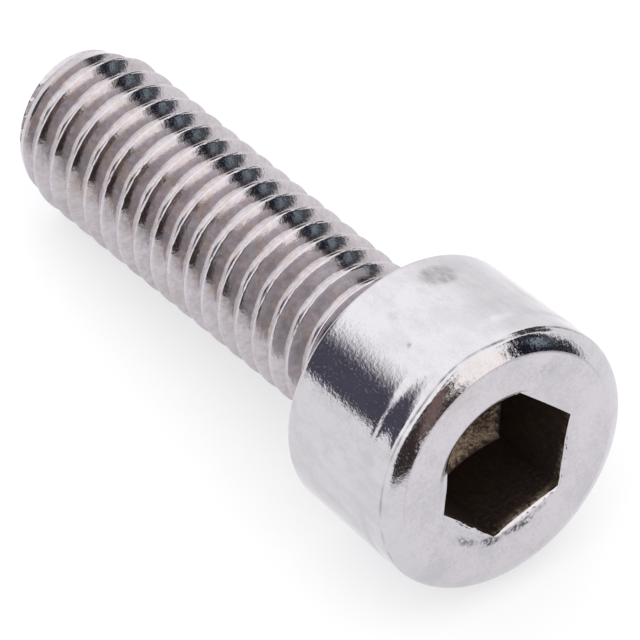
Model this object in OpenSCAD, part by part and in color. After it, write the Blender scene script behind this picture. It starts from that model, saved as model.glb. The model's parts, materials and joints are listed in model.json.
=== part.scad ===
// Hexagon socket head cap screw: one cold-headed piece with a rolled, right-hand thread.
// It lies on a flat surface the way a loose screw comes to rest, on the rim of its head and
// on the first two thread crests behind the tip.
// Origin: centre of the bearing face under the head, on the screw's axis.
// +X runs from the tip to the head, and +Z is up. All lengths are in millimetres.

/* [Thread] */
// Nominal diameter of the thread
thread_d = 5; // [4.6:0.1:5.4]
// Distance from one crest to the next
thread_pitch = 0.8; // [0.6:0.05:1]
// How far the thread's outer diameter stays under the nominal one
crest_allowance = 0.1; // [0.05:0.01:0.2]
// Length from the bearing face to the farthest point of the tip
shank_l = 15.75; // [12:0.05:20]

/* [Head] */
// Diameter of the head just under its rounded top edge
head_d = 8.5; // [8.2:0.1:9]
// Diameter of the head just above its bearing face
head_base_d = 8.2; // [7.6:0.1:8.2]
// Height of the head
head_h = 4.9; // [4:0.1:6]
// Rounding of the head's top edge
head_edge_r = 0.65; // [0.3:0.05:0.9]
// Rounding of the edge round the bearing face
bearing_edge_r = 0.15; // [0.1:0.01:0.3]

/* [Socket] */
// Width of the hexagon socket across its flats
socket_af = 4.08; // [3.5:0.02:4.2]
// Depth of the socket's flats
socket_depth = 2.7; // [2:0.1:3]
// Diameter of the bevel round the socket's mouth
socket_mouth_d = 4.95; // [4.9:0.05:5.5]
// Angle between opposite sides of the mouth's bevel
socket_bevel_angle = 140; // [90:5:150]
// Angle of the cone at the socket's bottom
socket_point_angle = 120; // [110:5:130]
// How far the hexagon is turned round the screw's axis
socket_turn = 43.5; // [0:0.5:59.5]

/* [Neck and tip] */
// Diameter of the plain neck between the thread and the head
neck_d = 4.4; // [4.3:0.05:4.6]
// Length of the plain neck
neck_l = 1.3; // [0.8:0.1:2]
// Radius of the fillet between the neck and the bearing face
neck_fillet_r = 0.3; // [0.2:0.05:0.4]
// Diameter at the tip's flat end
tip_d = 4; // [3.6:0.1:4.2]
// Length of the taper that leads the thread in at the tip
tip_taper_l = 1.3; // [1:0.1:1.6]
// How far the sheared end leans away from square
tip_skew = 11; // [0:1:12]
// Where round the axis the sheared end is longest
tip_skew_turn = 160; // [0:1:359]

/* [Hidden] */

// Facets of one turn of the thread, of the round surfaces, and of a rounded edge's arc
thread_steps = 36;
$fn = 64;
arc_steps = 8;
// Half a facet of a round surface. It turns a facet, and not an edge, to the ground.
half_facet = 180 / $fn;
// How far joined shapes run into each other, and cutting shapes past the metal
overlap = 0.1;

// Metric thread profile: 60 degree flanks, a crest flat of an eighth of the pitch and a root
// flat of a quarter. Each point is [height along the axis, radius], from one root to the next.
crest_r = (thread_d - crest_allowance) / 2;
crest_flat = thread_pitch / 8;
root_flat = thread_pitch / 4;
flank_l = (thread_pitch - root_flat - crest_flat) / 2;
root_r = crest_r - flank_l / tan(30);
thread_outline = [
    [0, root_r],
    [root_flat, root_r],
    [root_flat + flank_l, crest_r],
    [thread_pitch - flank_l, crest_r]
];

// The threaded bar starts below the tip and ends inside the neck. It is turned the way the
// screw rolls to: on its underside the ground touches the last crest that the tip's taper cuts
// and the first full one together.
taper_start = -shank_l + tip_taper_l;
taper_slope = (crest_r - tip_d / 2) / tip_taper_l;
facet_r = crest_r * cos(180 / thread_steps);
ground_slope = (head_base_d / 2 - facet_r) / -(taper_start + thread_pitch);
ground_drop = crest_r - facet_r + (thread_pitch - crest_flat) * ground_slope;
first_crest = taper_start - crest_flat - ground_drop / taper_slope;
full_crest = first_crest + thread_pitch;
turns_below = ceil((tip_taper_l - root_flat - flank_l) / thread_pitch) + 1;
thread_start = first_crest - root_flat - flank_l - turns_below * thread_pitch;
thread_columns = ceil((-neck_l - thread_start) / thread_pitch * thread_steps);

// Centres of the head's two edge roundings, as [radius, height], and the taper of its side,
// which touches both
rim_centre = [head_base_d / 2 - bearing_edge_r, bearing_edge_r];
top_centre = [head_d / 2 - head_edge_r, head_h - head_edge_r];
between = top_centre - rim_centre;
head_draft = atan2(between[0], between[1]) + asin((head_edge_r - bearing_edge_r) / norm(between));

// Slope at rest: the line that touches the full crest and the rounding of the head's rim
contact = rim_centre - [facet_r, full_crest];
rest_tilt = atan2(contact[0], contact[1]) + asin(bearing_edge_r / norm(contact));

// Points of an arc in a profile, from one angle to another
function arc(centre, r, from, to) =
    [for (i = [0 : arc_steps]) let (a = from + (to - from) * i / arc_steps)
        centre + r * [cos(a), sin(a)]];

// A point of the thread's outline, carried round and along the screw by some steps and a half,
// which turns a facet to the ground here too
function thread_point(step, p) =
    let (turn = (step + 0.5) / thread_steps)
    [p[1] * cos(360 * turn), p[1] * sin(360 * turn), thread_start + p[0] + thread_pitch * turn];

// Threaded bar: one pitch of the outline wound up the screw, closed by a ramp at each end
module threaded_bar() {
    n = thread_columns;
    m = len(thread_outline);
    bottom = (n + thread_steps + 1) * m;
    top = bottom + 1;
    function at(step, k) = k < m ? step * m + k : (step + thread_steps) * m;
    points = [
        for (step = [0 : n + thread_steps], p = thread_outline) thread_point(step, p),
        [0, 0, thread_start],
        [0, 0, thread_start + thread_pitch * (1 + n / thread_steps)]
    ];
    level = [for (step = [0 : n - 1], k = [0, 2])
        [at(step, k), at(step, k + 1), at(step + 1, k + 1), at(step + 1, k)]];
    lower_flanks = [for (step = [0 : n - 1], k = [1, 3])
        [at(step, k), at(step, k + 1), at(step + 1, k)]];
    upper_flanks = [for (step = [0 : n - 1], k = [1, 3])
        [at(step, k + 1), at(step + 1, k + 1), at(step + 1, k)]];
    bottom_ramp = [for (step = [0 : thread_steps - 1]) [bottom, at(step, 0), at(step + 1, 0)]];
    top_ramp = [for (step = [n : n + thread_steps - 1]) [top, at(step + 1, 0), at(step, 0)]];
    bottom_step = [for (k = [m : -1 : -1]) k < 0 ? bottom : at(0, k)];
    top_step = [for (k = [0 : m + 1]) k > m ? top : at(n, k)];
    polyhedron(
        points,
        concat(level, lower_flanks, upper_flanks, bottom_ramp, top_ramp, [bottom_step, top_step]),
        convexity = 8
    );
}

// Room that the thread may fill: a lead-in taper at the tip, the plane of the sheared end, and a
// fade at 45 degrees that ends inside the neck
module thread_envelope() {
    outer_r = crest_r + overlap;
    inner_r = root_r - overlap;
    fade_end = -neck_l + overlap + neck_d / 2;
    intersection() {
        rotate(half_facet)
        rotate_extrude()
        polygon([
            [0, -shank_l],
            [tip_d / 2, -shank_l],
            [outer_r, taper_start + overlap / taper_slope],
            [outer_r, fade_end - outer_r],
            [inner_r, fade_end - inner_r],
            [0, fade_end - inner_r]
        ]);
        rotate(tip_skew_turn)
        translate([tip_d / 2, 0, -shank_l])
        rotate([0, tip_skew, 0])
        translate([-shank_l, -shank_l, 0])
        cube(2 * shank_l);
    }
}

// Plain neck with a bevelled end inside the thread, and the fillet against the bearing face
module neck() {
    neck_r = neck_d / 2;
    bevel = neck_r - root_r + overlap;
    fillet_centre = [neck_r + neck_fillet_r, -neck_fillet_r];
    rotate(half_facet)
    rotate_extrude()
    polygon(concat(
        [
            [0, -neck_l - bevel],
            [neck_r - bevel, -neck_l - bevel],
            [neck_r, -neck_l]
        ],
        arc(fillet_centre, neck_fillet_r, 180, 90),
        [
            [fillet_centre[0], overlap],
            [0, overlap]
        ]
    ));
}

// Head: slightly tapered side between two rounded edges
module head() {
    rotate(half_facet)
    rotate_extrude()
    polygon(concat(
        [[0, 0]],
        arc(rim_centre, bearing_edge_r, -90, -head_draft),
        arc(top_centre, head_edge_r, -head_draft, 90),
        [[0, head_h]]
    ));
}

// Hexagon socket with a conical point below it and a bevelled mouth
module socket() {
    corner_r = socket_af / 2 / cos(30);
    point_slope = tan(socket_point_angle / 2);
    mouth_slope = tan(socket_bevel_angle / 2);
    point_z = head_h - socket_depth - corner_r / point_slope;
    mouth_h = socket_mouth_d / 2 / mouth_slope;
    outer_r = corner_r + overlap;
    intersection() {
        translate([0, 0, point_z - overlap])
        cylinder(h = head_h - point_z + 2 * overlap, r = corner_r, $fn = 6);
        rotate_extrude()
        polygon([
            [0, point_z],
            [outer_r, point_z + outer_r / point_slope],
            [outer_r, head_h + 2 * overlap],
            [0, head_h + 2 * overlap]
        ]);
    }
    translate([0, 0, head_h - mouth_h])
    cylinder(h = mouth_h + overlap, r1 = 0, r2 = socket_mouth_d / 2 + overlap * mouth_slope);
}

// The whole screw, laid down with its tip towards -X
module cap_screw() {
    color("gainsboro")
    rotate([0, 90 - rest_tilt, 0])
    difference() {
        union() {
            head();
            neck();
            intersection() {
                threaded_bar();
                thread_envelope();
            }
        }
        rotate(socket_turn)
        socket();
    }
}

cap_screw();
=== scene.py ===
"""Hexagon socket head cap screw, M5 x 0.8 x 16, dressed for rendering.

The screw is one mesh, wound on a polar grid round its own axis: its thread rows follow the
helix, and the head, the socket and the tip are rings. The settings are in metres, and the grid
is worked out in millimetres.
"""

import json
import math

import bpy
import numpy as np
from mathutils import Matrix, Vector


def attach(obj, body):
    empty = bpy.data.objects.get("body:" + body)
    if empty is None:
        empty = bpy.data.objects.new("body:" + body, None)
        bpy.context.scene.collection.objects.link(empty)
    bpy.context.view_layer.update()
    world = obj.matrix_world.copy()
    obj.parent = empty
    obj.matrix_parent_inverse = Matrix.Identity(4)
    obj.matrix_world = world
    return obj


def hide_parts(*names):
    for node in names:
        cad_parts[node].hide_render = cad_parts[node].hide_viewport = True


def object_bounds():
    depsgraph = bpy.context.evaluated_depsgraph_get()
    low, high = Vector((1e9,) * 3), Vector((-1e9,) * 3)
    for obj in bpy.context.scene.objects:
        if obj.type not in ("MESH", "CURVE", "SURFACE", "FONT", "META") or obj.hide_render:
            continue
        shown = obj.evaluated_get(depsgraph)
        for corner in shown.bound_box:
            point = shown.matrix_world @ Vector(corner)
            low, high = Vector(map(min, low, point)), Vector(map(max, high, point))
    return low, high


bl_info = {
    "name": "Socket cap screw",
    "version": (1, 0, 0),
    "blender": (4, 5, 0),
    "location": "View3D > Sidebar > Screw",
    "description": "Builds a hexagon socket head cap screw on its packed frame, with a stage",
    "category": "Object",
}

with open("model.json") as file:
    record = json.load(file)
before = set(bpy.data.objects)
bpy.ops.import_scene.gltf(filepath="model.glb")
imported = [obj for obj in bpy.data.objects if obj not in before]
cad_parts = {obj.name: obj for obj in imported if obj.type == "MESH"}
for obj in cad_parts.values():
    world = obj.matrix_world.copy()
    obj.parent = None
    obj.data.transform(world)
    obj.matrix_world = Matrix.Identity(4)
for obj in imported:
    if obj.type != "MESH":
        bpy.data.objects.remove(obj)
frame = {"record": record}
cad_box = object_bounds()
mounts = {m["name"]: m for m in frame["record"]["mounts"]}

MM = 0.001
COLUMNS = 192  # columns of the polar grid, a multiple of six
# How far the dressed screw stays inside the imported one, at the head's top and at the crests
HEAD_MARGIN = 0.003 * MM
CREST_MARGIN = 0.004 * MM
AXIS = np.array(mounts["hex_socket"]["axis"])
HEAD_HEIGHT = float(np.linalg.norm(mounts["hex_socket"]["pos_m"])) - HEAD_MARGIN
SHANK_LENGTH = float(np.linalg.norm(mounts["thread"]["pos_m"]))
CREST_RADIUS = mounts["thread"]["dims"]["r_mm"] * MM - CREST_MARGIN
NECK_RADIUS = mounts["neck"]["dims"]["r_mm"] * MM
SOCKET_DEPTH = mounts["hex_socket"]["dims"]["length_mm"] * MM

LENGTH = {"subtype": "DISTANCE", "unit": "LENGTH", "precision": 6, "min": 0.0}
COLOUR = {"subtype": "COLOR", "size": 4, "min": 0.0, "max": 1.0}


def length(name, description, default):
    """A length in metres"""
    return bpy.props.FloatProperty(name=name, description=description, default=default, **LENGTH)


def colour(name, description, default):
    """A linear colour"""
    return bpy.props.FloatVectorProperty(
        name=name, description=description, default=(*default, 1.0), **COLOUR
    )


def number(name, description, default, low=0.0, high=10.0):
    """A plain number with its limits"""
    return bpy.props.FloatProperty(
        name=name, description=description, default=default, min=low, max=high
    )


def angle(name, description, default):
    """An angle, given in degrees"""
    return bpy.props.FloatProperty(
        name=name, description=description, default=math.radians(default),
        subtype="ANGLE", unit="ROTATION",
    )


class ScrewSizes(bpy.types.PropertyGroup):
    """Sizes of the screw"""

    pitch: length("Pitch", "Distance from one crest to the next", 0.8 * MM)
    crest_start: length(
        "Crest start", "How far the first crest is from the tip, underneath", 0.538 * MM
    )
    taper_length: length("Tip taper", "Length of the taper at the tip", 0.911 * MM)
    tip_radius: length("Tip radius", "Radius of the taper where the tip meets the axis", 2.135 * MM)
    tip_skew: angle("Tip skew", "How far the sheared end leans from square", 11)
    tip_skew_turn: angle("Tip skew turn", "Where round the axis the sheared end is longest", 160)
    neck_length: length("Neck length", "Length of the plain neck", 1.3 * MM)
    fillet: length("Neck fillet", "Fillet between the neck and the bearing face", 0.3 * MM)
    head_radius: length("Head radius", "Radius under the rounded top edge", 4.237 * MM)
    base_radius: length("Head base radius", "Radius just above the bearing face", 4.098 * MM)
    edge_radius: length("Edge rounding", "Rounding of the head's top edge", 0.65 * MM)
    rim_radius: length("Rim rounding", "Rounding round the bearing face", 0.15 * MM)
    socket_width: length("Socket width", "Width across the hexagon's flats", 4.08 * MM)
    mouth_radius: length("Mouth radius", "Radius of the bevel round the socket's mouth", 2.475 * MM)
    bevel_slope: angle("Bevel angle", "Half the angle of the mouth's bevel", 70)
    point_slope: angle("Point angle", "Half the angle of the socket's conical bottom", 60)
    socket_turn: angle("Socket turn", "How far the hexagon is turned round the axis", 43.5)


class ScrewFinish(bpy.types.PropertyGroup):
    """Colours and finish of the steel"""

    steel: colour("Steel", "Colour of the bright steel", (0.595, 0.575, 0.605))
    worn: colour("Thread steel", "Colour of the rolled steel of the thread", (0.60, 0.565, 0.61))
    warm: colour("Warm steel", "Colour of the thread's darker, warmer patches", (0.51, 0.47, 0.475))
    face: colour("Top face", "Colour of the satin top face", (0.62, 0.595, 0.625))
    dull: colour("Dull steel", "Colour of the head's duller patches", (0.53, 0.51, 0.54))
    copper: colour(
        "Copper film", "Colour of the coppery patches of the film", (0.27, 0.20, 0.155)
    )
    grit: colour(
        "Socket streaks", "Colour of the dark streaks at the socket's bottom", (0.10, 0.07, 0.055)
    )
    # Painted shade and a painted dark reflection on the thread, in a brown film colour
    soil: colour("Soil", "Colour of the brown film in the grooves", (0.215, 0.19, 0.19))
    smudge: colour("Smudge", "Colour of the grey smudges on the head", (0.11, 0.105, 0.11))
    bottom: colour(
        "Socket bottom", "Colour of the bare steel at the socket's bottom", (0.46, 0.36, 0.27)
    )
    # Painted shade: this near-black colour covers the socket's walls and outer bottom for the shade
    # inside the socket
    socket: colour("Socket", "Colour of the oiled steel inside the socket", (0.095, 0.07, 0.062))
    side_roughness: number("Side roughness", "Roughness of the head's side", 0.07, 0.0, 1.0)
    face_roughness: number("Face roughness", "Roughness of the head's top face", 0.32, 0.0, 1.0)
    thread_roughness: number("Thread roughness", "Roughness of the thread", 0.055, 0.0, 1.0)
    socket_roughness: number("Socket roughness", "Roughness inside the socket", 0.38, 0.0, 1.0)


class StageSettings(bpy.types.PropertyGroup):
    """Camera and surroundings"""

    azimuth: angle("Azimuth", "Direction that the camera stands in", 52.77)
    elevation: angle("Elevation", "Height of the camera over the horizon", 45.93)
    distance: length("Distance", "Distance from the camera to the screw", 600 * MM)
    focal_length: number(
        "Focal length", "Focal length of the camera, in millimetres", 1198.0, 1.0, 5000.0
    )
    aim_right: number(
        "Aim right", "How far the camera aims right of the origin, in millimetres",
        -2.3211, -50.0, 50.0,
    )
    aim_up: number(
        "Aim up", "How far the camera aims above the origin, in millimetres",
        1.6810, -50.0, 50.0,
    )
    floor_radius: length("Floor radius", "Radius of the floor", 400 * MM)
    sky: number("Sky strength", "Brightness of the white surroundings", 1.12)
    ceiling: number("Ceiling strength", "Brightness of the surroundings from high up", 1.42)


# ---------------------------------------------------------------- shape
# Lengths in this section are in millimetres where nothing else is said, heights are along the
# screw's axis from the bearing face, and angles round the screw are in degrees.

# What each face of the screw is finished as, in the order of FINISHES below
THREAD, SIDE, FACE, SOCKET = range(4)

# One pitch of the thread as (way along it in pitches, depth under the crest in thread depths)
THREAD_OUTLINE = [
    (0.000, 0.010), (0.018, 0.0), (0.036, 0.0), (0.054, 0.012), (0.075, 0.050), (0.100, 0.125),
    (0.215, 0.480), (0.325, 0.830), (0.380, 0.965), (0.440, 1.0), (0.560, 1.0), (0.640, 0.990),
    (0.700, 0.930), (0.760, 0.770), (0.860, 0.430), (0.940, 0.140), (0.975, 0.045),
]
# How dark each of those points is painted: a brown film in the grooves, deepened there as painted
# shade
GROOVE_FILM_AND_SHADE = (0, 0, 0, 0, 0.1, 0.25, 0.55, 0.85, 0.9, 0.5, 0.25, 0.2, 0.3, 0.4, 0.4, 0.15, 0)
# How much painted dark reflection lies there as well, round the second angle below
DARK_REFLECTION = (0, 0, 0, 0.03, 0.1, 0.36, 0.5, 0.24, 0.08, 0.05, 0, 0, 0, 0, 0, 0, 0)
# Angles round the screw of the side with more painted shade and of the painted dark reflection
SHADED_TURN, DARK_REFLECTION_TURN = 208, 228
# Share of the painted film and shade that lies all round, and what the shaded side adds to it
ROUND_SHARE, SHADED_SHARE = 0.34, 0.16
# Length of one flank along the axis in pitches: what a crest of 1/8 and a root of 1/4 leave
FLANK_SHARE = (1 - 1 / 8 - 1 / 4) / 2
# How far above the neck's lower end the thread has run out, and how far above it the thread's
# last ring and the neck's first one lie
RUN_OUT, LAST_THREAD_RING, FIRST_NECK_RING = 0.1, 0.12, 0.2
# Rows that come nearer than this to the first or the last ring become part of that ring
ROW_GAP = 0.012
# Rolling leaves a seam along the middle of the crest and nicks beside it: the rows of the
# outline, the depths, the heights from none to full at either end, and the length of a turn
CREST_MIDDLE, CREST_SIDES = 2, (0, 1, 3, 4)
SEAM_DEPTH, NICK_DEPTH = 0.012, 0.010
WORN_FROM, WORN_TO = (-13.2, -11.5), (-1.2, -2.2)
CREST_TURN = 15.0
# Rings of the neck, the bearing face, the head's side and the top face, and steps of an arc
NECK_RINGS, BEARING_RINGS, SIDE_RINGS, FACE_RINGS = 6, 5, 63, 15
ARC_STEPS = 8
# Lip between the sheared end and the tip's taper, and the rings of the end as shares of it
TIP_LIP = 0.045
TIP_RINGS = (0.75, 0.45)

# The head's top edge as arcs of its profile: first and last angle, radius and steps
HEAD_EDGE = [(0, 55, 0.33, 20), (55, 66, 2.46, 8), (66, 90, 0.25, 6)]
# A shallow ring that the die left in the head's side: the heights between which the side
# falls and by how much, and those between which it rises again and by how much
RING_FALL = (3.47, 3.74, 0.034)
RING_RISE = (3.78, 4.34, 0.015)
# A fine dark crease round the head's top edge: its height, how far it wanders from it, its
# depth, its half width, and the angle round the screw where it shows most
CREASE_HEIGHT, CREASE_WANDER = 4.50, 0.025
CREASE_DEPTH, CREASE_WIDTH = 0.014, 0.030
CREASE_TURN = 185
# Where smudges and stains fade, in shares of their half sizes
SPOT_FADE = (0.7, 1.2)
# Smudges on the head's side: angle round the screw, height, half width, half height, strength
SMUDGES = [
    (168, 1.0, 0.6, 0.5, 0.50), (138, 2.2, 0.25, 0.7, 0.2), (196, 1.5, 0.2, 0.2, 0.12),
    (201, 2.72, 0.035, 0.09, 0.5), (190, 0.9, 0.12, 0.08, 0.15), (284, 2.2, 0.5, 1.2, 0.12),
]
# Stains on the top face: angle, radius, half width, half height, strength
FACE_STAINS = [
    (320, 2.52, 0.45, 0.12, 0.7), (341, 2.50, 0.36, 0.16, 1.0), (357, 2.42, 0.15, 0.10, 0.5),
    (5, 2.38, 0.60, 0.15, 1.0), (24, 2.36, 0.25, 0.10, 0.6), (150, 3.1, 0.4, 0.2, 0.12),
]
# The mouth from the bevel's outer edge to the hexagon: share of the way, height in burrs, finish
MOUTH_RINGS = [
    (0.25, 0.0, FACE), (0.45, 0.05, FACE), (0.62, 0.6, FACE), (0.75, 1.0, SIDE),
    (0.82, 0.9, SIDE), (0.92, 0.3, SIDE), (1.0, -0.7, SIDE),
]
# Angles round the screw of the mouth's bevelled side and of its deepest place. The burr, with
# its mean height, stands opposite the bevelled side.
BEVEL_TURN, DEEP_TURN = 193, 207
BURR_HEIGHT = 0.045
# How steeply the mouth falls on that side, in shares of the bevel's slope, and what the
# deepest place adds to it
BEVEL_DROP, DEEP_DROP = 0.7, 1.2
# Rings of the socket's walls, and those of its conical bottom as shares of the hexagon
WALL_RINGS = 10
BOTTOM_RINGS = (0.975, 0.95, 0.925, 0.9, 0.87, 0.83, 0.77, 0.68, 0.55, 0.4, 0.2)
# The painted shade in the socket, in the dark socket colour, ends on the bottom in a ragged edge this
# far in from the walls
SHADE_EDGE, SHADE_RAGGED, SHADE_SOFT = 0.10, 0.06, 0.04


def smooth(x, low, high):
    """0 at low, 1 at high, an even curve between them and flat beyond them"""
    t = np.clip((x - low) / (high - low), 0, 1)
    return t * t * (3 - 2 * t)


def ripple(seed, scale, waves=9):
    """A repeatable smooth noise of one variable, about -1 to 1, with features of that scale"""
    draw = np.random.default_rng(seed)
    rates = 2 * np.pi / scale * draw.uniform(0.35, 1.3, waves)
    starts = draw.uniform(0, 2 * np.pi, waves)

    def noise(x):
        x = np.asarray(x, float)
        return sum(np.sin(x * k + s) for k, s in zip(rates, starts)) / math.sqrt(waves)

    return noise


def towards(turn, degrees):
    """1 where a direction round the screw is that angle, and -1 opposite it"""
    return np.cos(turn - math.radians(degrees))


def arc(centre, radius, first, last, steps):
    """Points of an arc as (r, z), without its first point. Angles are in degrees."""
    for k in range(1, steps + 1):
        a = math.radians(first + (last - first) * k / steps)
        yield centre[0] + radius * math.cos(a), centre[1] + radius * math.sin(a)


def smudges(turn, place, spots, radius):
    """How soiled a ring is, where place is its height on the side or its radius on the face"""
    soil = np.zeros(COLUMNS)
    for where, middle, half_width, half_height, strength in spots:
        across = np.angle(np.exp(1j * (turn - math.radians(where)))) * radius / half_width
        far = np.hypot(across, (place - middle) / half_height)
        soil = np.maximum(soil, strength * (1 - smooth(far, *SPOT_FADE)))
    return soil


class Grid:
    """Rings and helical rows of vertices round the screw's axis, in millimetres"""

    def __init__(self, turn):
        self.turn = turn + np.arange(COLUMNS) * 2 * np.pi / COLUMNS
        self.points, self.soil, self.faces, self.kinds = [], [], [], []

    def ring(self, r, z, soil=0.0):
        """A closed ring: returns the numbers of its vertices"""
        first = len(self.points)
        r, z = np.broadcast_to(r, COLUMNS), np.broadcast_to(z, COLUMNS)
        self.points += list(zip(r * np.cos(self.turn), r * np.sin(self.turn), z))
        self.soil += list(np.broadcast_to(soil, COLUMNS))
        return np.arange(first, first + COLUMNS)

    def band(self, low, high, kind):
        """Faces between two rings"""
        for a, b, c, d in zip(low, np.roll(low, -1), np.roll(high, -1), high):
            self.face((a, b, c, d), kind)

    def face(self, corners, kind):
        """One face, without the corners that fall together. It is left out when too few remain."""
        kept = [v for n, v in enumerate(corners) if v != corners[n - 1]]
        if len(kept) > 2:
            self.faces.append([int(v) for v in kept])
            self.kinds.append(kind)

    def loft(self, low, rings, kind):
        """Rings in order, each joined to the one before. Returns the last."""
        for ring in rings:
            high = self.ring(*ring)
            self.band(low, high, kind)
            low = high
        return low

    def cap(self, low, z, kind, flip=False):
        """Closes a ring at a point on the axis"""
        self.points.append((0, 0, z))
        self.soil.append(0.0)
        tip = len(self.points) - 1
        for a, b in zip(low, np.roll(low, -1)):
            self.face((a, b, tip) if not flip else (b, a, tip), kind)


class Thread:
    """The thread's rows: one for each point of the outline in each turn, wound up the screw"""

    def __init__(self, s):
        self.pitch, self.crest_r, self.neck_r = s.pitch / MM, CREST_RADIUS / MM, NECK_RADIUS / MM
        depth = (self.pitch * FLANK_SHARE) * math.sqrt(3)
        self.along = np.array([a for a, _ in THREAD_OUTLINE]) * self.pitch
        self.depths = np.array([d for _, d in THREAD_OUTLINE]) * depth
        self.neck_z = -s.neck_length / MM
        self.top_z = self.neck_z + LAST_THREAD_RING
        self.shank, self.taper, self.tip = SHANK_LENGTH / MM, s.taper_length / MM, s.tip_radius / MM
        self.start = -self.shank + s.crest_start / MM
        self.seam, self.nick = ripple(5, 0.33), ripple(11, 0.055)

    def wear(self, k, z, wound):
        """How far a row is worn down, where wound is its turns along the helix. The seam is
        open over most of its length, and the nicks are few."""
        worn = smooth(z, *WORN_FROM) * smooth(z, *WORN_TO)
        if k == CREST_MIDDLE:
            return worn * SEAM_DEPTH * np.clip(0.35 + 0.6 * self.seam(wound * CREST_TURN), 0, 1)
        if k in CREST_SIDES:
            return worn * NICK_DEPTH * np.clip(self.nick(wound * CREST_TURN + k) - 0.75, 0, 1)
        return 0.0

    def row(self, k, wound):
        """Radius and height of one row, inside the tip's taper and the slope to the neck"""
        z = self.start + wound * self.pitch + self.along[k]
        r = self.crest_r - (self.depths[k] + self.wear(k, z, wound))
        slope = (z + self.shank - self.taper) * (self.crest_r - self.tip) / self.taper
        r = np.minimum(r, self.crest_r + np.minimum(0, slope))
        fade = self.neck_z + RUN_OUT + self.neck_r - z
        neck = self.neck_r + np.minimum(0, z - self.neck_z)
        return np.maximum(np.minimum(r, fade), neck), z


def thread_rows(grid, s, tip_z, tip_r):
    """The threaded part, between a ring at the tip and one at the neck. Returns both rings."""
    thread = Thread(s)
    n = len(THREAD_OUTLINE)
    # enough turns for every column to begin below the tip's ring and end above the neck's
    first = math.floor((tip_z.min() - thread.start) / thread.pitch) - 2
    last = math.ceil((thread.top_z - thread.start) / thread.pitch) + 1
    # Painted shade on one side of the thread, and a painted dark reflection round the other angle
    shaded_side = smooth(towards(grid.turn, SHADED_TURN), 0.3, 0.8)
    dark_reflection_side = smooth(towards(grid.turn, DARK_REFLECTION_TURN), 0.75, 0.95)
    bottom = grid.ring(tip_r, tip_z)
    top = grid.ring(thread.neck_r, thread.top_z)
    ids = np.zeros(((last - first) * n, COLUMNS), int)
    for row in range(len(ids)):
        lap, k = divmod(row, n)
        r, z = thread.row(k, first + lap + grid.turn / (2 * np.pi))
        soil = np.minimum(GROOVE_FILM_AND_SHADE[k] * (ROUND_SHARE + SHADED_SHARE * shaded_side) + DARK_REFLECTION[k] * dark_reflection_side, 1.0)
        past_top = np.where(z > thread.top_z - ROW_GAP, top, -1)
        ids[row] = np.where(z < tip_z + ROW_GAP, bottom, past_top)
        for j in np.flatnonzero(ids[row] < 0):
            t = grid.turn[j]
            ids[row][j] = len(grid.points)
            grid.points.append((r[j] * math.cos(t), r[j] * math.sin(t), z[j]))
            grid.soil.append(soil[j])
    for row in range(len(ids) - 1):
        for j in range(COLUMNS):
            if j < COLUMNS - 1:
                b, c = ids[row][j + 1], ids[row + 1][j + 1]
            elif row + n + 1 < len(ids):
                b, c = ids[row + n][0], ids[row + n + 1][0]
            else:
                b = c = top[0]
            grid.face((ids[row][j], b, c, ids[row + 1][j]), THREAD)
    return bottom, top


def tip_and_thread(grid, s):
    """The sheared end, which is the taper's cone cut by a leaning plane, and the thread above it"""
    shank, tip = SHANK_LENGTH / MM, s.tip_radius / MM
    slope = (CREST_RADIUS / MM - tip) / (s.taper_length / MM)
    lean = -math.tan(s.tip_skew) * np.cos(grid.turn - s.tip_skew_turn)
    end_r = tip / (1 - slope * lean)
    bottom, top = thread_rows(grid, s, -shank + end_r * lean + TIP_LIP, end_r + slope * TIP_LIP)
    end = grid.ring(end_r - TIP_LIP, -shank + (end_r - TIP_LIP) * lean)
    grid.band(end, bottom, THREAD)
    for share in TIP_RINGS:
        inner = grid.ring(end_r * share, -shank + end_r * share * lean)
        grid.band(inner, end, THREAD)
        end = inner
    grid.cap(end, -shank, THREAD, flip=True)
    return top


def neck(grid, s, low):
    """The plain neck, and the fillet between it and the bearing face"""
    neck_r, neck_z, fillet = NECK_RADIUS / MM, -s.neck_length / MM, s.fillet / MM
    heights = np.linspace(neck_z + FIRST_NECK_RING, -fillet, NECK_RINGS)
    low = grid.loft(low, [(neck_r, z) for z in heights], THREAD)
    return grid.loft(low, arc((neck_r + fillet, -fillet), fillet, 180, 90, ARC_STEPS), THREAD)


def head_side(grid, s, low):
    """Bearing face, rim and tapered side with its ring. Returns the last ring, its r and its z."""
    base, rim = s.base_radius / MM, s.rim_radius / MM
    head, edge, height = s.head_radius / MM, s.edge_radius / MM, HEAD_HEIGHT / MM
    rim_centre, top_centre = (base - rim, rim), (head - edge, height - edge)
    inner_r = (NECK_RADIUS + s.fillet) / MM
    radii = np.linspace(inner_r, rim_centre[0], BEARING_RINGS + 1)[1:]
    low = grid.loft(low, [(r, 0) for r in radii], SIDE)
    # the side touches the rim's rounding and a rounding of the size that the top edge has
    between = (top_centre[0] - rim_centre[0], top_centre[1] - rim_centre[1])
    draft = math.atan2(*between) + math.asin((edge - rim) / math.hypot(*between))
    low = grid.loft(low, arc(rim_centre, rim, -90, -math.degrees(draft), ARC_STEPS), SIDE)
    z0, z1 = rim_centre[1] - rim * math.sin(draft), top_centre[1] - edge * math.sin(draft)
    r0, r1 = rim_centre[0] + rim * math.cos(draft), top_centre[0] + edge * math.cos(draft)
    corner_z = height - sum(
        radius * (math.sin(math.radians(last)) - math.sin(math.radians(first)))
        for first, last, radius, _ in HEAD_EDGE
    )
    side = []
    for z in np.linspace(z0, corner_z, SIDE_RINGS + 1)[1:]:
        r = r0 + (r1 - r0) * min(1.0, (z - z0) / (z1 - z0))
        r -= RING_FALL[2] * smooth(z, *RING_FALL[:2]) - RING_RISE[2] * smooth(z, *RING_RISE[:2])
        side.append((r, z, smudges(grid.turn, z, SMUDGES, r1)))
    return grid.loft(low, side, SIDE), r1 - RING_FALL[2] + RING_RISE[2], corner_z


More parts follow.
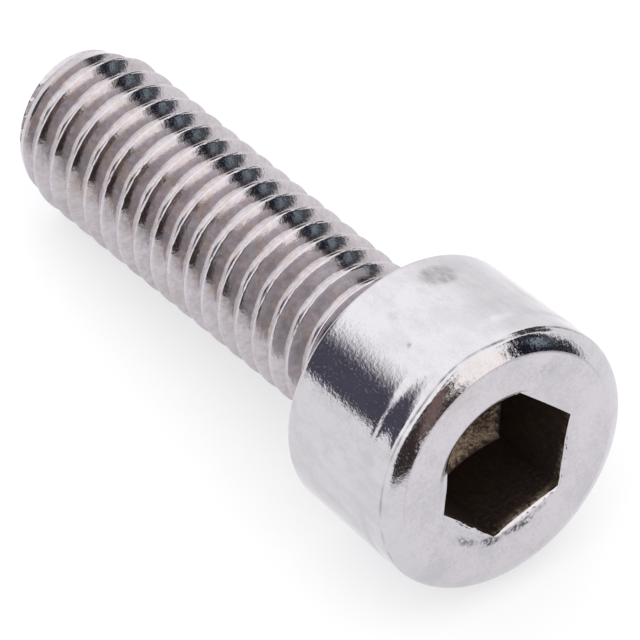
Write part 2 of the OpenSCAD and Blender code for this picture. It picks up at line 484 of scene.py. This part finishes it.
def head_edge(grid, low, r, z):
    """The rounded top edge from that radius and height, with the crease across its arcs.
    Returns its last ring and that ring's radius."""
    wander, breaks = ripple(21, 0.9)(grid.turn), ripple(22, 0.25)(grid.turn)
    crease_z = CREASE_HEIGHT + CREASE_WANDER * wander
    facing = smooth(towards(grid.turn, CREASE_TURN), 0.35, 0.7)
    strength = np.clip(0.25 + 0.55 * facing + 0.5 * breaks, 0, 1)

    def creased(r, z):
        line = strength * np.exp(-((z - crease_z) / CREASE_WIDTH) ** 2)
        return r - CREASE_DEPTH * line, z, line

    for first, last, radius, steps in HEAD_EDGE:
        a, b = math.radians(first), math.radians(last)
        centre = (r - radius * math.cos(a), z - radius * math.sin(a))
        rings = [creased(*point) for point in arc(centre, radius, first, last, steps)]
        low = grid.loft(low, rings, SIDE if last < 90 else FACE)
        r, z = centre[0] + radius * math.cos(b), centre[1] + radius * math.sin(b)
    return low, r


def top_face(grid, s, low, outer_r):
    """The flat face between the rounded edge and the socket's bevel"""
    height = HEAD_HEIGHT / MM
    radii = np.linspace(outer_r, s.mouth_radius / MM, FACE_RINGS + 1)[1:]
    rings = [(r, height, smudges(grid.turn, r, FACE_STAINS, r)) for r in radii]
    return grid.loft(low, rings, FACE)


def socket(grid, s, low):
    """The socket: a bevelled and burred mouth, hexagonal walls and a conical bottom"""
    t, height, mouth = grid.turn, HEAD_HEIGHT / MM, s.mouth_radius / MM
    half = s.socket_width / MM / 2
    corner = half / math.cos(math.pi / 6)
    hexagon = half / np.cos(np.mod(t - s.socket_turn, np.pi / 3) - np.pi / 6)
    facing = towards(t, BEVEL_TURN)
    bevelled, deep = smooth(facing, -0.7, 0.2), smooth(towards(t, DEEP_TURN), 0.5, 0.95)
    drop = (BEVEL_DROP * bevelled + DEEP_DROP * deep) / math.tan(s.bevel_slope)
    rough = 0.014 * ripple(31, 0.12)(t) + 0.010 * ripple(32, 0.05)(t)
    burr = smooth(-facing, 0.1, 0.5) * (BURR_HEIGHT + rough)
    for share, lift, kind in MOUTH_RINGS:
        r = mouth + (hexagon - mouth) * share
        z = height - (mouth - r) * drop + burr * lift
        soil = smudges(t, r, FACE_STAINS, r) * (kind == FACE)
        low = grid.loft(low, [(r, z, soil)], kind)
    point = math.tan(s.point_slope)
    point_z = height - SOCKET_DEPTH / MM - corner / point
    wall_top, wall_end = z, point_z + hexagon / point
    # The walls are covered in full by the dark socket colour, a painted shade inside the socket
    for share in np.linspace(0, 1, WALL_RINGS + 1)[1:]:
        low = grid.loft(low, [(hexagon, wall_top + (wall_end - wall_top) * share, 1.0)], SOCKET)
    edge = SHADE_EDGE + SHADE_RAGGED * ripple(41, 0.14)(t)
    for share in BOTTOM_RINGS:
        film_and_shade = 1 - smooth((1 - share) * corner, edge - SHADE_SOFT, edge + SHADE_SOFT)
        low = grid.loft(low, [(hexagon * share, point_z + hexagon * share / point, film_and_shade)], SOCKET)
    grid.cap(low, point_z, SOCKET)


def screw_grid(s):
    """Every vertex and face of the screw in its own frame, where Z is the axis, the bearing
    face is at 0 and the head is above it"""
    grid = Grid(s.socket_turn)
    low = tip_and_thread(grid, s)
    low = neck(grid, s, low)
    low, side_r, side_z = head_side(grid, s, low)
    low, face_r = head_edge(grid, low, side_r, side_z)
    low = top_face(grid, s, low, face_r)
    socket(grid, s, low)
    return grid


def to_frame(points):
    """Points in the screw's own frame, in millimetres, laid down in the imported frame, in metres"""
    down = np.array([AXIS[2], 0.0, -AXIS[0]])
    across = np.array([0.0, 1.0, 0.0])
    p = np.array(points, float)
    return (p[:, :1] * down + p[:, 1:2] * across + p[:, 2:] * AXIS) * MM


# ---------------------------------------------------------------- materials

# Finishes of the steel, in the order of the faces' kinds. Colours and roughness name settings:
# the bare steel and its patches, then the film on it and the film's patches. The film colour also
# paints shade and dark reflections: in the thread's grooves and on one side of it, and as the
# socket's dark walls. Grain and mottle are the features of the grain and of the blotches in a
# millimetre, and depth is the grain's, in metres. Waves is how strong the broad waves are against
# the grain, stretch how much shorter than wide the grain is along the axis, specks how much
# rougher the specks are, and cover the film's least share between its blotches.
FINISHES = [
    dict(
        name="steel_thread", colours=("worn", "warm", "soil", "copper"),
        roughness="thread_roughness", grain=26.0, depth=1.2e-6, waves=2.5, stretch=1.0,
        specks=0.10, cover=0.75, mottle=5.5,
    ),
    dict(
        name="steel_side", colours=("steel", "dull", "smudge", "smudge"),
        roughness="side_roughness", grain=20.0, depth=1.3e-6, waves=4.0, stretch=0.45,
        specks=0.17, cover=0.5, mottle=3.0,
    ),
    dict(
        name="steel_face", colours=("face", "dull", "smudge", "smudge"),
        roughness="face_roughness", grain=22.0, depth=6e-6, waves=0.5, stretch=1.0,
        specks=0.1, cover=0.0, mottle=8.0,
    ),
    dict(
        name="steel_socket", colours=("bottom", "grit", "socket", "socket"),
        roughness="socket_roughness", grain=16.0, depth=3e-5, waves=1.5, stretch=0.2,
        specks=0.1, cover=0.94, mottle=8.0,
    ),
]
FILM_ROUGHNESS = 0.12  # how much rougher the steel is under the full film
# Edges in the mesh sharper than this, in degrees, stay sharp
SHARP_ANGLE = 38

WHITE = (1.0, 1.0, 1.0, 1.0)
DEGREES = 180 / math.pi
# Heights over the horizon, in degrees, between which the sky turns into the ceiling
SKY_TO_CEILING = (5.0, 35.0)
# Things round the screw, seen only in its reflections: azimuths and elevations of their
# edges in degrees, how soft the left, right, low and high edges are, and colour
CARDS = [
    ("window", (93, 121), (3, 62), (3, 2, 8, 12), (1.48, 1.41, 1.34)),
    ("wall", (-78, -31), (4, 30), (10, 4, 1.5, 12), (0.10, 0.095, 0.13)),
    ("warm_wall", (46, 93.5), (-4, 17), (10, 3, 2, 5), (0.06, 0.043, 0.04)),
    ("warm_low", (90, 101), (-4, 14), (2, 3, 2, 6), (0.06, 0.043, 0.04)),
    ("warm_top", (58, 93.5), (17, 31), (8, 3, 6, 6), (0.045, 0.03, 0.028)),
    ("warm_mast", (72, 80), (24, 66), (3, 5, 6, 14), (0.16, 0.11, 0.10)),
    ("warm_gap", (77, 89), (1, 34), (4, 3, 6, 5), (0.24, 0.17, 0.15)),
    ("cool_box", (122, 145), (-4, 20), (2, 1.5, 2, 5), (0.014, 0.015, 0.024)),
    ("cool_top", (128, 152), (17, 36), (3, 4, 5, 5), (0.03, 0.03, 0.045)),
    ("cool_side", (140, 147), (-6, 9), (1.5, 2, 2, 4), (0.10, 0.11, 0.13)),
    ("cool_gap", (134.5, 139.0), (3, 14), (0.6, 1, 3, 4), (0.34, 0.42, 0.47)),
    ("far_left", (-180, -152), (16, 44), (3, 5, 8, 8), (0.06, 0.05, 0.055)),
    ("far_edge", (160, 180), (16, 44), (6, 3, 8, 8), (0.06, 0.05, 0.055)),
]
# The floor's colour and its own light, which together are white under the sky
FLOOR_TONE, FLOOR_GLOW = (0.45, 0.45, 0.46, 1.0), (0.56, 0.56, 0.56, 1.0)
# Dark parts of the floor, seen only in reflections: azimuths of the edges in degrees, nearest
# distance in metres, and glow
FLOOR_CARDS = [
    (54, 80, 0.030, (0.03, 0.018, 0.015)),
    (123, 150, 0.030, (0.012, 0.013, 0.02)),
]
# Place on the X axis, under the head, from which those azimuths are measured. The distances
# are from the origin.
FLOOR_CARDS_X = 0.003
# How soft their sides are, in degrees, and their near ends, in shares of the distance
FLOOR_CARD_SOFT = 4
FLOOR_CARD_NEAR = (0.8, 1.2)
FLOOR_DARK = (0.02, 0.02, 0.02, 1.0)
FLOOR_EDGES = 96

SENSOR_WIDTH = 36.0  # millimetres
CLIP_START, CLIP_END = 0.01, 5.0


class Nodes:
    """Short calls that add nodes to one tree"""

    def __init__(self, tree):
        self.tree = tree
        tree.nodes.clear()

    def plug(self, socket, value):
        """Links a socket to another, or sets its value"""
        if isinstance(value, bpy.types.NodeSocket):
            self.tree.links.new(value, socket)
        else:
            socket.default_value = value

    def add(self, kind, inputs=None, **settings):
        node = self.tree.nodes.new(kind)
        for name, value in settings.items():
            setattr(node, name, value)
        for name, value in (inputs or {}).items():
            self.plug(node.inputs[name], value)
        return node

    def math(self, operation, *values):
        return self.add("ShaderNodeMath", dict(enumerate(values)), operation=operation).outputs[0]

    def between(self, value, low, high, to_low=0.0, to_high=1.0):
        """A smooth step from one value to another"""
        node = self.add(
            "ShaderNodeMapRange",
            {
                "Value": value, "From Min": low, "From Max": high,
                "To Min": to_low, "To Max": to_high,
            },
            interpolation_type="SMOOTHSTEP",
        )
        return node.outputs["Result"]

    def noise(self, vector, scale, detail, roughness):
        node = self.add(
            "ShaderNodeTexNoise",
            {"Vector": vector, "Scale": scale, "Detail": detail, "Roughness": roughness},
        )
        return node.outputs["Fac"]

    def blend(self, share, a, b):
        """From colour a at share 0 to colour b at share 1"""
        node = self.add("ShaderNodeMix", data_type="RGBA")
        for slot, value in ((0, share), (6, a), (7, b)):
            self.plug(node.inputs[slot], value)
        return node.outputs[2]


def steel_material(
    settings, name, colours, roughness, grain, depth, waves, stretch, specks, cover, mottle
):
    """Bare stainless steel with grain, waves and rough specks, under a patchy film that also paints
    shade and dark reflections
    """
    bare, bare_patch, film_and_shade, film_and_shade_patch = (tuple(getattr(settings, c)) for c in colours)
    material = bpy.data.materials.new(name)
    material.use_nodes = True
    n = Nodes(material.node_tree)
    place = n.add("ShaderNodeAttribute", attribute_name="own_mm").outputs["Vector"]
    drawn = n.add("ShaderNodeMapping", {"Vector": place, "Scale": (1.0, 1.0, stretch)}).outputs[0]
    clouds = n.noise(place, 0.9, 4.0, 0.6)
    blotches = n.noise(drawn, mottle, 4.0, 0.6)
    fine = n.noise(drawn, grain, 3.0, 0.65)
    broad = n.noise(place, grain / 2.5, 2.0, 0.5)
    speck = n.between(n.noise(drawn, grain * 0.8, 2.0, 0.5), 0.54, 0.70)
    # This attribute carries painted shade and dark reflections, a brown film, smudges and stains
    # together
    soil = n.add("ShaderNodeAttribute", attribute_name="soil").outputs["Fac"]
    soil = n.math("MULTIPLY", soil, n.between(blotches, 0.35, 0.6, cover, 1.0))
    # the bare steel's patches follow the clouds, the blotches and the grain together
    patches = n.math("ADD", n.math("MULTIPLY", clouds, 0.4), n.math("MULTIPLY", blotches, 0.35))
    patches = n.math("ADD", patches, n.math("MULTIPLY", fine, 0.25))
    steel = n.blend(n.between(patches, 0.42, 0.60), bare, bare_patch)
    stained = n.between(n.noise(place, 2.2, 3.0, 0.5), 0.48, 0.64)
    tint = n.blend(soil, steel, n.blend(stained, film_and_shade, film_and_shade_patch))
    rough = n.math("ADD", n.math("MULTIPLY", speck, specks), getattr(settings, roughness))
    rough = n.math("ADD", rough, n.math("MULTIPLY", soil, FILM_ROUGHNESS))
    height = n.math("ADD", fine, n.math("MULTIPLY", broad, waves))
    bump = n.add("ShaderNodeBump", {"Height": height, "Distance": depth, "Strength": 1.0})
    shader = n.add(
        "ShaderNodeBsdfPrincipled",
        {"Base Color": tint, "Roughness": rough, "Normal": bump.outputs["Normal"], "Metallic": 1.0},
    )
    n.add("ShaderNodeOutputMaterial", {"Surface": shader.outputs["BSDF"]})
    return material


def floor_material():
    """White for the camera, with a few dark parts that only the steel sees"""
    material = bpy.data.materials.new("floor_white")
    material.use_nodes = True
    n = Nodes(material.node_tree)
    place = n.add("ShaderNodeNewGeometry").outputs["Position"]
    parts = n.add("ShaderNodeSeparateXYZ", {"Vector": place}).outputs
    x, y = n.math("SUBTRACT", parts["X"], FLOOR_CARDS_X), n.math("MULTIPLY", parts["Y"], -1.0)
    azimuth = n.math("MULTIPLY", n.math("ARCTAN2", x, y), DEGREES)
    away = n.add("ShaderNodeVectorMath", {0: place}, operation="LENGTH").outputs["Value"]
    seen = n.add("ShaderNodeLightPath").outputs["Is Camera Ray"]
    tone, glow_tone = FLOOR_TONE, FLOOR_GLOW
    soft = FLOOR_CARD_SOFT / 2
    for left, right, near, dark in FLOOR_CARDS:
        mask = n.between(azimuth, left - soft, left + soft)
        mask = n.math("MULTIPLY", mask, n.between(azimuth, right - soft, right + soft, 1.0, 0.0))
        near_from, near_to = (near * share for share in FLOOR_CARD_NEAR)
        mask = n.math("MULTIPLY", mask, n.between(away, near_from, near_to))
        mask = n.math("MULTIPLY", mask, n.math("SUBTRACT", 1.0, seen))
        tone = n.blend(mask, tone, FLOOR_DARK)
        glow_tone = n.blend(mask, glow_tone, (*dark, 1.0))
    matt = n.add("ShaderNodeBsdfDiffuse", {"Color": tone})
    glow = n.add("ShaderNodeEmission", {"Color": glow_tone, "Strength": 1.0})
    both = n.add("ShaderNodeAddShader", {0: matt.outputs[0], 1: glow.outputs[0]})
    n.add("ShaderNodeOutputMaterial", {"Surface": both.outputs[0]})
    return material


def card_mask(n, azimuth, elevation, card):
    """1 inside a card and 0 outside, by direction"""
    _, (left, right), (low, high), (soft_left, soft_right, soft_low, soft_high), _ = card
    mask = n.between(azimuth, left - soft_left / 2, left + soft_left / 2)
    for value, edge, soft, to in (
        (azimuth, right, soft_right, (1.0, 0.0)),
        (elevation, low, soft_low, (0.0, 1.0)),
        (elevation, high, soft_high, (1.0, 0.0)),
    ):
        mask = n.math("MULTIPLY", mask, n.between(value, edge - soft / 2, edge + soft / 2, *to))
    return mask


# ---------------------------------------------------------------- stage


def build_floor(scene, settings):
    """A white disc that touches the screw from below"""
    turn = np.arange(FLOOR_EDGES) * 2 * np.pi / FLOOR_EDGES
    r, low = settings.floor_radius, cad_box[0].z
    mesh = bpy.data.meshes.new("floor")
    points = [(r * math.cos(a), r * math.sin(a), low) for a in turn]
    mesh.from_pydata(points, [], [list(range(FLOOR_EDGES))])
    mesh.materials.append(floor_material())
    floor = bpy.data.objects.new("floor", mesh)
    scene.collection.objects.link(floor)


def build_world(scene, settings):
    """White surroundings, in which the steel sees a window and a few dark things"""
    world = bpy.data.worlds.new("studio")
    world.use_nodes = True
    n = Nodes(world.node_tree)
    way = n.add("ShaderNodeTexCoord").outputs["Generated"]
    parts = n.add("ShaderNodeSeparateXYZ", {"Vector": way}).outputs
    turned = n.math("ARCTAN2", parts["X"], n.math("MULTIPLY", parts["Y"], -1.0))
    azimuth = n.math("MULTIPLY", turned, DEGREES)
    elevation = n.math("MULTIPLY", n.math("ARCSINE", parts["Z"]), DEGREES)
    sky, ceiling = ((*[level] * 3, 1.0) for level in (settings.sky, settings.ceiling))
    tone = n.blend(n.between(elevation, *SKY_TO_CEILING), sky, ceiling)
    for card in CARDS:
        tone = n.blend(card_mask(n, azimuth, elevation, card), tone, (*card[-1], 1.0))
    tone = n.blend(n.add("ShaderNodeLightPath").outputs["Is Camera Ray"], tone, WHITE)
    shade = n.add("ShaderNodeBackground", {"Color": tone, "Strength": 1.0})
    n.add("ShaderNodeOutputWorld", {"Surface": shade.outputs["Background"]})
    scene.world = world


def build_camera(scene, settings):
    """A camera with a long lens, which looks down at the head's end of the screw"""
    camera = bpy.data.objects.new("camera", bpy.data.cameras.new("camera"))
    scene.collection.objects.link(camera)
    a, e = settings.azimuth, settings.elevation
    right = np.array([math.cos(a), math.sin(a), 0.0])
    up = np.array([-math.sin(a) * math.sin(e), math.cos(a) * math.sin(e), math.cos(e)])
    back = np.array([math.sin(a) * math.cos(e), -math.cos(a) * math.cos(e), math.sin(e)])
    aim = (settings.aim_right * right + settings.aim_up * up) * MM
    camera.location = aim + settings.distance * back
    camera.rotation_euler = (math.pi / 2 - e, 0.0, a)
    camera.data.lens = settings.focal_length
    camera.data.sensor_width = SENSOR_WIDTH
    camera.data.clip_start = CLIP_START
    camera.data.clip_end = CLIP_END
    scene.camera = camera


# ---------------------------------------------------------------- operators and panel


class SCREW_OT_build(bpy.types.Operator):
    """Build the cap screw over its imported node"""

    bl_idname = "screw.build"
    bl_label = "Build screw"
    bl_options = {"REGISTER", "UNDO"}

    def execute(self, context):
        grid = screw_grid(context.scene.screw_sizes)
        mesh = bpy.data.meshes.new("cap_screw_body")
        mesh.from_pydata(to_frame(grid.points), [], grid.faces)
        if mesh.validate():
            raise RuntimeError("the screw's mesh has a broken face")
        own = mesh.attributes.new("own_mm", "FLOAT_VECTOR", "POINT")
        own.data.foreach_set("vector", np.array(grid.points, np.float32).ravel())
        soil = mesh.attributes.new("soil", "FLOAT", "POINT")
        soil.data.foreach_set("value", np.array(grid.soil, np.float32))
        mesh.polygons.foreach_set("material_index", np.array(grid.kinds, np.int32))
        mesh.set_sharp_from_angle(angle=math.radians(SHARP_ANGLE))
        for finish in FINISHES:
            mesh.materials.append(steel_material(context.scene.screw_finish, **finish))
        screw = bpy.data.objects.new("cap_screw_body", mesh)
        context.scene.collection.objects.link(screw)
        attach(screw, "root")
        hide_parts("cap_screw")
        return {"FINISHED"}


class SCREW_OT_stage(bpy.types.Operator):
    """Build the floor, the surroundings and the camera"""

    bl_idname = "screw.stage"
    bl_label = "Build stage"
    bl_options = {"REGISTER", "UNDO"}

    def execute(self, context):
        settings = context.scene.screw_stage
        build_floor(context.scene, settings)
        build_world(context.scene, settings)
        build_camera(context.scene, settings)
        context.scene.view_settings.view_transform = "Standard"
        return {"FINISHED"}


class SCREW_PT_panel(bpy.types.Panel):
    """Sizes, finish and the two steps that build the screw and its stage"""

    bl_label = "Cap screw"
    bl_idname = "SCREW_PT_panel"
    bl_space_type = "VIEW_3D"
    bl_region_type = "UI"
    bl_category = "Screw"

    def draw(self, context):
        layout = self.layout
        scene = context.scene
        for group in (scene.screw_sizes, scene.screw_finish, scene.screw_stage):
            box = layout.box()
            for name in group.bl_rna.properties.keys():
                if name not in ("rna_type", "name"):
                    box.prop(group, name)
        layout.operator(SCREW_OT_build.bl_idname)
        layout.operator(SCREW_OT_stage.bl_idname)


CLASSES = (ScrewSizes, ScrewFinish, StageSettings, SCREW_OT_build, SCREW_OT_stage, SCREW_PT_panel)


def register():
    for cls in CLASSES:
        bpy.utils.register_class(cls)
    bpy.types.Scene.screw_sizes = bpy.props.PointerProperty(type=ScrewSizes)
    bpy.types.Scene.screw_finish = bpy.props.PointerProperty(type=ScrewFinish)
    bpy.types.Scene.screw_stage = bpy.props.PointerProperty(type=StageSettings)


def unregister():
    del bpy.types.Scene.screw_stage
    del bpy.types.Scene.screw_finish
    del bpy.types.Scene.screw_sizes
    for cls in reversed(CLASSES):
        bpy.utils.unregister_class(cls)


def main():
    register()
    bpy.ops.screw.build()
    bpy.ops.screw.stage()


if __name__ == "__main__":
    main()
